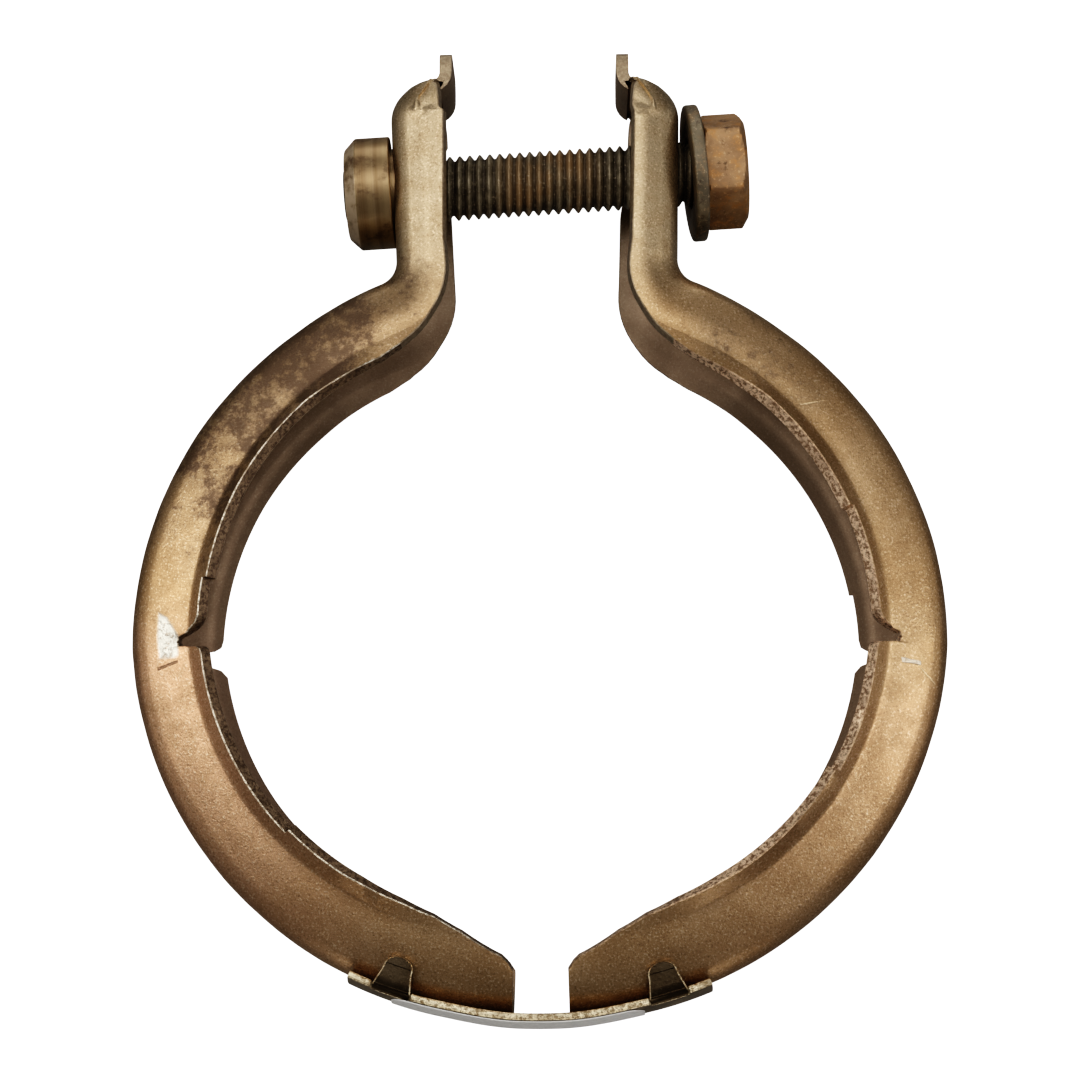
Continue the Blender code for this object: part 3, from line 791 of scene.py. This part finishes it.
# The bright patch of each half, and its stains as (centre, reach, strength)
SCUFFS = {"left": (-12.0, -47.5, 9.0), "right": (9.5, -47.5, 9.0)}
STAINS = {
    "left": [((-17.0, 42.0, 5.0), 10.0, 0.45), ((-24.0, 37.5, 6.0), 9.0, 0.62),
             ((-30.0, 34.0, 5.0), 10.0, 0.66), ((-36.0, 28.0, 4.0), 9.0, 0.62),
             ((-40.5, 22.0, 3.0), 8.0, 0.62), ((-43.5, 14.0, 3.0), 7.0, 0.45),
             ((-26.5, 31.5, 8.5), 8.0, 0.70), ((-33.0, 24.5, 8.5), 8.0, 0.62),
             ((-37.0, 16.5, 8.5), 7.0, 0.62), ((-40.0, 9.0, 8.5), 5.0, 0.40),
             ((-38.5, 24.0, 6.0), 6.0, 0.36)],
    "right": [((22.0, 35.0, 7.0), 5.0, 0.40), ((28.5, 32.5, 6.5), 6.0, 0.42),
              ((32.0, 28.5, 6.5), 4.0, 0.40), ((27.0, 38.5, 4.0), 5.0, 0.36)],
}


def paint(data, name, values):
    layer = data.attributes.new(name, "FLOAT", "POINT")
    layer.data.foreach_set("value", values)


def stain_at(point, side):
    total = 0.0
    for centre, reach, strength in STAINS[side]:
        total = max(total, strength * (1.0 - smooth((point - Vector(centre)).length, reach * 0.35, reach)))
    return total


def olive_at(point, side):
    return 0.8 * smooth(point.y, 36.0, 50.0)


def scuff_at(point, side):
    return 1.0 - smooth((point - Vector(SCUFFS[side])).length, 1.0, 6.0)


# The lower arcs' share of the pinkish heat tint and painted highlight, strongest low on the left
def pink_tint_and_highlight_at(point, side):
    if side == "right":
        return 0.25 * smooth(-point.y, 2.0, 12.0) * smooth(point.x, 8.0, 30.0)
    return 0.75 * smooth(-point.y, -6.0, 4.0) * smooth(-point.x, 12.0, 38.0)


def waved(point, kind):
    """Give a point of the shell's outer face the slight waves of pressed sheet."""
    if kind != OUTER:
        return point
    outward = Vector((point.x, point.y + 0.5, 0.0)).normalized() + Vector((0.0, 0.0, point.z / 9.0))
    wave = noise.noise(point * 0.16) + 0.5 * noise.noise(point * 0.43 + Vector((9.0, 4.0, 2.0)))
    return point + outward.normalized() * (SURFACE_WAVE * wave)


def shell(side, finishes):
    """One pressed half shell with its ear and tab, ready painted for its stains and tints, the painted
    highlight on its lower arcs and the painted shade of its inner faces.
    """
    stations = list(reversed(lower_stations())) + upper_stations(side)
    rings = [shell_ring(place, side) for place in stations]
    mesh = bmesh.new()
    notes, world = [], []
    for ring in rings:
        row = []
        for point, kind in ring:
            moved = waved(point, kind)
            row.append(placed(moved, moved.z))
            notes.append((point, kind))
        world.append(row)
    kinds = [kind for point, kind in rings[0]]
    count = len(kinds)

    def slot_of(number, index):
        """The finish of a face: 0 sheet, 1 cut edge, 2 its outer burr, 3 the ear's edge, 4 its inner line; 1
        and 2 carry each side's painted highlight and painted shade, and 4 a painted highlight.
        """
        pair = {kinds[index], kinds[(index + 1) % count]}
        if CUT_EDGE not in pair:
            return 0
        if stations[number]["arc"] == "upper" and stations[number]["travelled"] > EAR_START:
            return 3
        if OUTER in pair:
            return 2
        return 4 if INNER in pair else 1

    skin(mesh, world, slot_of=slot_of, cap_slot=3)
    made = piece_from(f"visual_shell_{side}", mesh, finishes)
    for name, tint in (("stain", stain_at), ("olive", olive_at), ("pink_tint_and_highlight", pink_tint_and_highlight_at), ("scuff", scuff_at)):
        paint(made.data, name, [tint(point, side) for point, kind in notes])
    # Mark the inner faces for their painted shade
    paint(made.data, "inner", [1.0 if kind == INNER else 0.0 for point, kind in notes])
    return made


# The bolt's line

def on_bolt(along, turn=0.0):
    """The place of a feature on the bolt's line, with local +Z pointing from the nut to the head."""
    lean = Matrix.Rotation(math.radians(BOLT_RISE), 4, "Z") @ Matrix.Rotation(math.radians(90.0), 4, "Y")
    return (Matrix.Translation(placed(BOLT_POINT + unit(BOLT_RISE) * along)) @ lean
            @ Matrix.Rotation(math.radians(turn), 4, "Z"))


def turned(mesh, profile, steps, closed=True):
    """A solid turned about local Z from (radius, height) pairs; a closed profile gives a ring."""
    rows = []
    for radius, height in profile:
        if radius == 0.0:
            rows.append([mesh.verts.new((0.0, 0.0, height * MM))])
            continue
        rows.append([mesh.verts.new((*(unit(360.0 * step / steps) * radius * MM), height * MM))
                     for step in range(steps)])
    pairs = list(zip(rows, rows[1:] + rows[:1])) if closed else list(zip(rows, rows[1:]))
    for row, following in pairs:
        for step in range(steps):
            beside = (step + 1) % steps
            corners = [row[step % len(row)], row[beside % len(row)],
                       following[beside % len(following)], following[step % len(following)]]
            mesh.faces.new(list(dict.fromkeys(corners)))


def thread_radius(along, turn):
    """The thread's radius: crest, flank, root and flank, wound along the shank."""
    phase = (along / THREAD_PITCH + turn) % 1.0
    fall = between(THREAD_FORM, phase)
    radius = THREAD_RADIUS - THREAD_DEPTH * fall
    from_tip = BOLT_LENGTH + along
    return min(radius, THREAD_RADIUS - 1.0 + from_tip), fall


def bolt_shank(mesh):
    rings, roots, smears = [], [], []
    count = round(BOLT_LENGTH / THREAD_PITCH * 14)
    for row in range(count + 1):
        along = -BOLT_LENGTH + (BOLT_LENGTH + 0.5) * row / count
        ring = []
        for step in range(THREAD_STEPS):
            radius, fall = thread_radius(along, step / THREAD_STEPS)
            point = unit(360.0 * step / THREAD_STEPS) * radius * MM
            ring.append(Vector((point.x, point.y, along * MM)))
            roots.append(smooth(fall, 0.35, 1.0))
            smears.append(1.0 - smooth(abs(along - SMEAR_MIDDLE), 3.0, 8.0))
        rings.append(ring)
    rows = skin(mesh, rings, closed_ends=False)
    mesh.faces.new(rows[0])
    mesh.faces.new(rows[-1])
    return roots, smears


def head_radius(turn, height):
    """The head's outline: a hexagon held inside its chamfer cone, with slightly softened corners."""
    flat_turn = (turn + 30.0) % 60.0 - 30.0
    hexagon = HEAD_ACROSS_FLATS / 2 / math.cos(math.radians(flat_turn))
    hexagon = min(hexagon, HEAD_ACROSS_FLATS / math.sqrt(3) - 0.12)
    cone = HEAD_CHAMFER_RADIUS + (HEAD_HEIGHT - height) / HEAD_CHAMFER_SLOPE
    foot = HEAD_ACROSS_FLATS / math.sqrt(3) - 0.45 + height / 0.6
    return min(hexagon, cone, foot)


def bolt_head(mesh):
    turns = [6.0 * step + extra for step in range(60) for extra in (0.0, 3.0)]
    heights = [0.0, 0.1, 0.25, 0.6, 1.4, 2.4, 3.2, 3.7, 4.0, 4.25, 4.5, 4.7, 4.85, 5.0, HEAD_HEIGHT]
    rings = [[Vector((*(unit(turn) * head_radius(turn, height) * MM), height * MM)) for turn in turns]
             for height in heights]
    rows = skin(mesh, rings, closed_ends=False)
    for row, height in ((rows[0], 0.0), (rows[-1], HEAD_HEIGHT)):
        middle = mesh.verts.new((0.0, 0.0, height * MM))
        for index in range(len(row)):
            mesh.faces.new((row[index], row[(index + 1) % len(row)], middle))


def bolt_pieces(thread_finish, head_finish):
    mesh = bmesh.new()
    roots, smears = bolt_shank(mesh)
    shank = piece_from("visual_bolt_shank", mesh, [thread_finish], sharp=60.0)
    paint(shank.data, "root", roots)
    paint(shank.data, "smear", smears)
    shank.matrix_world = on_bolt(HEAD_UNDERSIDE)
    mesh = bmesh.new()
    bolt_head(mesh)
    head = piece_from("visual_bolt_head", mesh, [head_finish], sharp=24.0)
    head.matrix_world = on_bolt(HEAD_UNDERSIDE, HEAD_TURN)
    return shank, head


def washer_piece(finish):
    mesh = bmesh.new()
    inner, outer, soft, thick = CLEARANCE_RADIUS, WASHER_RADIUS, 0.28, WASHER_THICKNESS
    lower = [(inner, 0.1), (inner + 0.15, 0.0), (outer - soft, 0.0), (outer - soft * 0.3, soft * 0.25),
             (outer, soft)]
    profile = lower + [(radius, thick - height) for radius, height in reversed(lower)]
    turned(mesh, profile, 96)
    made = piece_from("visual_washer", mesh, [finish], sharp=50.0)
    cock = Matrix.Rotation(math.radians(WASHER_COCK), 4, "X")
    tip = Matrix.Rotation(math.radians(WASHER_TIP), 4, "Y")
    made.matrix_world = on_bolt(WASHER_NEAR_FACE) @ cock @ tip
    return made


def nut_piece(finish):
    mesh = bmesh.new()
    bore, outer, spigot, soft = NUT_BORE_RADIUS, NUT_RADIUS, SPIGOT_RADIUS, 0.12
    profile = [(bore + 0.5, -NUT_LENGTH), (outer - NUT_CHAMFER - soft, -NUT_LENGTH),
               (outer - NUT_CHAMFER + soft * 0.6, soft * 0.6 - NUT_LENGTH),
               (outer - soft * 0.6, NUT_CHAMFER - soft * 0.6 - NUT_LENGTH),
               (outer, NUT_CHAMFER + soft - NUT_LENGTH),
               (outer, -soft), (outer - soft, 0.0), (spigot, 0.0), (spigot, SPIGOT_LENGTH),
               (bore, SPIGOT_LENGTH), (bore, 0.5 - NUT_LENGTH)]
    turned(mesh, profile, 96)
    made = piece_from("visual_barrel_nut", mesh, [finish], sharp=18.0)
    made.matrix_world = on_bolt(NUT_SEAT)
    return made


def ear_cutter(side):
    """The hole for the nut's spigot, or the slot that lets the bolt tilt."""
    mesh = bmesh.new()
    if side == "left":
        profile = [(0.0, -4.0), (SPIGOT_HOLE_RADIUS, -4.0), (SPIGOT_HOLE_RADIUS, 4.0), (0.0, 4.0)]
        turned(mesh, profile, 64, False)
    else:
        outline = [unit(180.0 * step / 16) * SLOT_HALF_WIDTH + Vector((0.0, SLOT_TOP - SLOT_HALF_WIDTH))
                   for step in range(17)]
        outline += [Vector((-point.x, SLOT_TOP + SLOT_BOTTOM - point.y)) for point in outline]
        low, high = [[mesh.verts.new((point.x * MM, point.y * MM, height * MM)) for point in outline]
                     for height in (-3.0, 3.0)]
        mesh.faces.new(low)
        mesh.faces.new(high)
        for index in range(len(outline)):
            beside = (index + 1) % len(outline)
            mesh.faces.new((low[index], low[beside], high[beside], high[index]))
    made = piece_from("cutter", mesh, [])
    made.matrix_world = on_bolt(NUT_SEAT if side == "left" else EAR_MIDDLE)
    return made


# The strip and label

def strip_line(x):
    """How low the strip's upper face hangs at x: round both webs, and bowed down across their gap."""
    lower_centre = UPPER_CENTRE + unit(NOTCH_ANGLE) * WEB_RADIUS - unit(NOTCH_ANGLE - KINK) * WEB_RADIUS
    beside = max(abs(x) - lower_centre.x, 0.0)
    bow = STRIP_BOW * max(1.0 - (x / STRIP_BOW_REACH) ** 2, 0.0) ** 2
    return lower_centre.y - math.sqrt((WEB_RADIUS + STRIP_GAP) ** 2 - beside ** 2) - bow


def strip_normal(x):
    slope = (strip_line(x + 0.01) - strip_line(x - 0.01)) / 0.02
    return Vector((slope, -1.0)).normalized()


def band_rings(ends, half_width, near, far, steps, rounding=0.0, notches=()):
    """Sections of a thin sheet along the strip's line, crowned across, its long edges softened.

    At each notch the sheet stops short of its edge, where a clip folds up out of it.
    """
    rings = []
    soft = (far - near) * 0.25
    for step in range(steps + 1):
        x = ends[0] + (ends[1] - ends[0]) * step / steps
        reach = half_width
        if rounding:
            shy = max(rounding - min(x - ends[0], ends[1] - x), 0.0)
            reach += math.sqrt(max(rounding ** 2 - shy ** 2, 0.04)) - rounding
        if any(abs(x - middle) < CLIP_HALF_WIDTHS[0] for middle in notches):
            reach -= CLIP_NOTCH
        heights = [(reach - soft) * (-1.0 + 2.0 * index / ACROSS_STEPS) for index in range(ACROSS_STEPS + 1)]
        profile = [(near, height) for height in heights] + [(near + soft, reach), (far - soft, reach)]
        profile += [(far, height) for height in reversed(heights)]
        profile += [(far - soft, -reach), (near + soft, -reach)]
        ring = []
        for distance, height in profile:
            lift = STRIP_CROWN * (height / STRIP_HALF_WIDTH) ** 2
            ring.append(placed(Vector((x, strip_line(x))) + strip_normal(x) * (distance - lift), height))
        rings.append(ring)
    return rings


def band_caps(mesh, rows):
    """Close a band's two ends between its upper and lower faces."""
    top = ACROSS_STEPS
    count = len(rows[0])
    for row in (rows[0], rows[-1]):
        for index in range(top):
            mesh.faces.new((row[index], row[index + 1], row[count - 4 - index], row[count - 3 - index]))
        mesh.faces.new((row[top], row[top + 1], row[top + 2], row[top + 3]))
        mesh.faces.new((row[count - 3], row[count - 2], row[count - 1], row[0]))


def clip_rings(centre, facing):
    """One folded tab: out of the strip's edge, round a bend and up the shell's wall to a rounded tip."""
    out = strip_normal(centre)
    along = Vector((-out.y, out.x))
    root = Vector((centre, strip_line(centre))) + out * (STRIP_SHEET * 0.5 - STRIP_CROWN * 0.85)
    half, soft = STRIP_SHEET / 2, CLIP_SOFTNESS
    bend_start = CLIP_MIDDLE - CLIP_BEND_RADIUS
    path = [(0.0, bend_start - 1.6, 0.0), (0.0, bend_start, 0.0)]
    for turn in (22.5, 45.0, 67.5, 90.0):
        way = unit(turn)
        path.append((CLIP_BEND_RADIUS * (1 - way.x), bend_start + CLIP_BEND_RADIUS * way.y, turn))
    straight = CLIP_HEIGHT - CLIP_BEND_RADIUS
    path += [(CLIP_BEND_RADIUS + straight * share, CLIP_MIDDLE, 90.0) for share in (0.25, 0.5, 0.72)]
    tip_start = CLIP_HEIGHT - CLIP_TIP_RADIUS
    path += [(tip_start + CLIP_TIP_RADIUS * unit(turn).y, CLIP_MIDDLE, 90.0)
             for turn in (0.0, 20.0, 40.0, 60.0, 75.0, 86.0)]
    rings = []
    for back, height, turn in path:
        share = smooth(back, 0.0, tip_start)
        width = CLIP_HALF_WIDTHS[0] + (CLIP_HALF_WIDTHS[1] - CLIP_HALF_WIDTHS[0]) * share
        if back > tip_start:
            width *= max(1.0 - ((back - tip_start) / CLIP_TIP_RADIUS) ** 2, 0.0) ** 0.5 * 0.85 + 0.15
        way = unit(turn)
        section = [(-width + soft, -half), (width - soft, -half), (width, -half + soft), (width, half - soft),
                   (width - soft, half), (-width + soft, half), (-width, half - soft), (-width, -half + soft)]
        ring = []
        for across, thick in section:
            plan = root + along * across - out * (back + thick * way.x)
            ring.append(placed(plan, facing * (height + thick * way.y)))
        rings.append(ring)
    return rings


def strip_piece(finish, edge_finish):
    mesh = bmesh.new()
    edges = [start + step for start in (ACROSS_STEPS, 2 * ACROSS_STEPS + 3) for step in range(3)]
    rings = band_rings(STRIP_ENDS, STRIP_HALF_WIDTH, STRIP_INSIDE, STRIP_SHEET, 168, notches=CLIP_CENTRES)
    rows = skin(mesh, rings, closed_ends=False, slot_of=lambda number, index: 1 if index in edges else 0)
    band_caps(mesh, rows)
    strip_count = len(mesh.verts)
    for centre in CLIP_CENTRES:
        for facing in (1, -1):
            # The clips' rims take the bright edge finish: their cut edges, and a painted highlight along the
            # outline
            rows = skin(mesh, clip_rings(centre, facing), closed_ends=False,
                        slot_of=lambda number, index: 1 if index in CLIP_RIM else 0)
            mesh.faces.new(rows[0])
            mesh.faces.new(rows[-1])
    total = len(mesh.verts)
    made = piece_from("visual_hinge_strip", mesh, [finish, edge_finish])
    # Mark the clips for their painted dark reflection
    paint(made.data, "tab", [0.0 if index < strip_count else 0.8 for index in range(total)])
    return made


def label_piece(finish):
    mesh = bmesh.new()
    near = STRIP_SHEET + LABEL_GAP
    rings = band_rings(LABEL_ENDS, LABEL_HALF_WIDTH, near, near + LABEL_SHEET, 90, rounding=2.5)
    rows = skin(mesh, rings, closed_ends=False)
    band_caps(mesh, rows)
    return piece_from("visual_label", mesh, [finish])


# The stage

def camera():
    data = bpy.data.cameras.new("camera")
    data.lens = CAMERA_LENS
    data.sensor_width = 36.0
    data.clip_start = 0.01
    data.clip_end = 10.0
    made = add_object("camera", data)
    back = (CAMERA_PLACE - CAMERA_TARGET).normalized()
    top = Vector((math.sin(math.radians(CAMERA_ROLL)), math.cos(math.radians(CAMERA_ROLL)), 0.0))
    right = top.cross(back).normalized()
    top = back.cross(right)
    turn = Matrix((right, top, back)).transposed().to_4x4()
    made.matrix_world = Matrix.Translation(CAMERA_PLACE * MM) @ turn
    bpy.context.scene.camera = made


def soft_light(name, place, aim, size, power, colour=(1.0, 1.0, 1.0)):
    data = bpy.data.lights.new(name, "AREA")
    data.shape = "RECTANGLE"
    data.size = size[0]
    data.size_y = size[1]
    data.energy = power
    data.color = colour
    made = add_object(name, data)
    made.location = place
    made.rotation_mode = "QUATERNION"
    made.rotation_quaternion = (Vector(aim) - Vector(place)).to_track_quat("-Z", "Y")


def film_response(light):
    """A print-like response: a deep toe, a straight middle and a soft shoulder."""
    return FILM_GAIN * light ** FILM_TOE / (1.0 + FILM_SHOULDER * light ** FILM_ROLL)


def film_curve(settings):
    settings.use_curve_mapping = True
    mapping = settings.curve_mapping
    mapping.use_clip = False
    curve = mapping.curves[3]
    for light in FILM_PLACES[1:-1]:
        curve.points.new(light / FILM_WHITE, film_response(light))
    curve.points[-1].location = (1.0, film_response(FILM_WHITE))
    mapping.white_level = (FILM_WHITE, FILM_WHITE, FILM_WHITE)
    mapping.update()


def studio():
    """Soft lights left, right and overhead, dim low ones all round, and an even grey surround."""
    scene = bpy.context.scene
    scene.view_settings.view_transform = "Standard"
    film_curve(scene.view_settings)
    scene.world = bpy.data.worlds.new("surround")
    scene.world.use_nodes = True
    background = scene.world.node_tree.nodes["Background"]
    background.inputs["Color"].default_value = (0.95, 0.97, 1.0, 1.0)
    background.inputs["Strength"].default_value = 0.15
    middle = (0.0, 0.0, 0.01)
    soft_light("left_light", (-0.38, 0.10, 0.50), middle, (0.26, 0.34), 1.15)
    soft_light("right_light", (0.46, -0.04, 0.48), middle, (0.20, 0.24), 0.85)
    soft_light("top_light", (0.05, 0.25, 0.75), middle, (0.50, 0.40), 1.6)
    soft_light("front_light", (0.0, -0.60, 0.10), middle, (0.50, 0.16), 0.8, (1.0, 0.96, 0.90))
    soft_light("back_light", (0.0, 0.70, 0.14), middle, (0.60, 0.22), 1.0)
    soft_light("low_left_light", (-0.70, 0.0, 0.12), middle, (0.60, 0.20), 0.3)
    soft_light("low_right_light", (0.70, 0.0, 0.12), middle, (0.60, 0.20), 0.4)


def set_behind(made):
    """Leave a stage piece out of mirror-like and diffuse reflections, so the steel keeps its contrast."""
    made.visible_glossy = False
    made.visible_diffuse = False


def pale_glow():
    made, tree, shader = start_material("floor")
    shader.inputs["Base Color"].default_value = (0.5, 0.5, 0.5, 1.0)
    shader.inputs["Roughness"].default_value = 1.0
    shader.inputs["Specular IOR Level"].default_value = 0.0
    shader.inputs["Emission Color"].default_value = (1.0, 1.0, 1.0, 1.0)
    shader.inputs["Emission Strength"].default_value = FLOOR_GLOW
    return made


def floor(finish):
    """A plain near-white floor."""
    mesh = bmesh.new()
    bmesh.ops.create_grid(mesh, x_segments=1, y_segments=1, size=FLOOR_HALF_SIZE)
    made = mesh_object("floor", mesh, [finish])
    made.location.z = -FLOOR_GAP
    set_behind(made)


def backdrop(finish):
    """A pale dome far behind the object, seen by the camera alone."""
    mesh = bmesh.new()
    bmesh.ops.create_uvsphere(mesh, u_segments=48, v_segments=24, radius=BACKDROP_RADIUS)
    made = mesh_object("backdrop", mesh, [finish])
    made.data.shade_smooth()
    made.visible_shadow = False
    set_behind(made)


def main():
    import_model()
    camera()
    studio()
    glow = pale_glow()
    floor(glow)
    backdrop(glow)

    # Bare sheared steel with coarse crystals, painted per side as the lights fall: on the left shell the
    # sheared faces darker (painted shade) and the burrs bright (painted highlight), on the right shell the
    # sheared faces bright (painted highlight) and the burrs dimmer (painted shade).
    edges = {
        "left": [cut_steel("sheared_left_painted_shade", (0.36, 0.26, 0.175), (0.16, 0.11, 0.075)),
                 cut_steel("burr_left_painted_highlight", (0.90, 0.82, 0.68), (0.34, 0.26, 0.18), 0.9)],
        "right": [cut_steel("sheared_right_painted_highlight", (0.95, 0.72, 0.52), (0.34, 0.22, 0.14), 0.4),
                  cut_steel("burr_right_painted_shade", (0.62, 0.45, 0.30), (0.30, 0.20, 0.13))],
    }
    # A thin bright line on each cut edge's inner corner: bare steel and a painted highlight along that
    # corner.
    thin_highlight_line = cut_steel("edge_line_highlight", (0.74, 0.58, 0.40), (0.42, 0.31, 0.21))
    calm_edge = cut_steel("ear_edge", (0.46, 0.37, 0.26), (0.34, 0.26, 0.18), 0.3)
    shells = {}
    for side in ("left", "right"):
        finish = shell_steel(f"shell_finish_{side}", MARKS[side])
        shells[side] = shell(side, [finish, *edges[side], calm_edge, thin_highlight_line])
        cut(shells[side], ear_cutter(side))
        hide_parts(f"shell_{side}")
        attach(shells[side], f"{side}_half")

    head_finish = rusty_steel("head_finish", (0.50, 0.325, 0.185), (0.33, 0.205, 0.115), (0.56, 0.30, 0.12))
    shank, head = bolt_pieces(bolt_steel("thread_finish"), head_finish)
    for piece in (shank, head):
        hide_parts("bolt")
        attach(piece, "bolt_stage")
    dull = rusty_steel("washer_finish", (0.28, 0.235, 0.165), (0.19, 0.155, 0.11), (0.34, 0.235, 0.14))
    washer = washer_piece(dull)
    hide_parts("washer")
    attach(washer, "washer_stage")
    nut = nut_piece(turned_steel("nut_finish"))
    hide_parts("barrel_nut")
    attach(nut, "left_half")

    strip_edge = cut_steel("strip_edge", (0.95, 0.84, 0.62), (0.34, 0.25, 0.15))
    strip = strip_piece(spring_steel("strip_finish"), strip_edge)
    for piece, node in ((strip, "hinge_strip"), (label_piece(paper("label_paper")), "label")):
        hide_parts(node)
        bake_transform(piece)


main()
